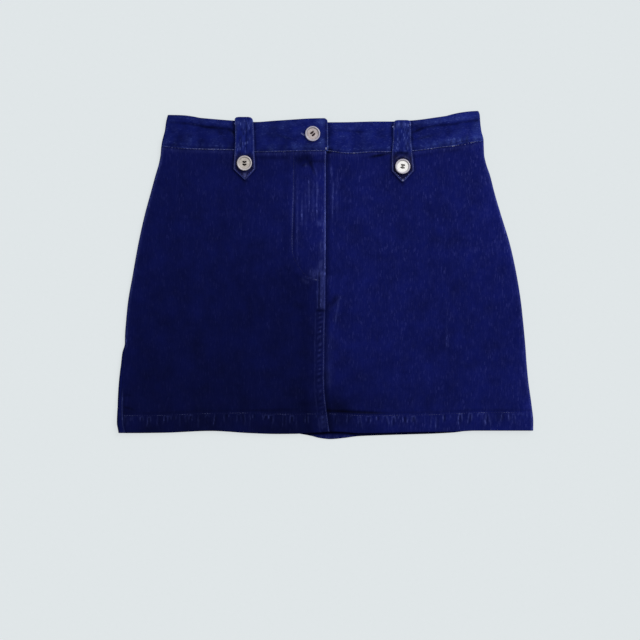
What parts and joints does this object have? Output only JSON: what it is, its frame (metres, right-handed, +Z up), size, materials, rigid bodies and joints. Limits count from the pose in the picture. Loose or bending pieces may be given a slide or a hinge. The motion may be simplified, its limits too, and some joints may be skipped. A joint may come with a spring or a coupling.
{
  "type": "denim mini skirt",
  "caption": "Dark blue denim mini skirt laid flat, with a buttoned waistband, pointed button tabs over the waist seam, a lapped fly and centre seam, and a turned hem.",
  "frame": {"origin": "on the surface the skirt lies on, under the middle of its outline", "axes": "+X across the skirt to the viewer's right, +Y from the hem to the waist, +Z up out of the cloth"},
  "size_m": [0.5201, 0.4102, 0.0101],
  "materials": {
    "denim": "matt indigo denim twill",
    "band_denim": "matt indigo denim twill, worn at its edges",
    "button_shell": "polished, pearly grey"
  },
  "bodies": {
    "root": {"back_panel": "denim", "front_left": "denim", "front_right": "denim", "waistband": "band_denim", "tab_left": "band_denim", "tab_right": "band_denim", "button_waist": "button_shell", "button_tab_left": "button_shell", "button_tab_right": "button_shell"}
  },
  "joints": []
}
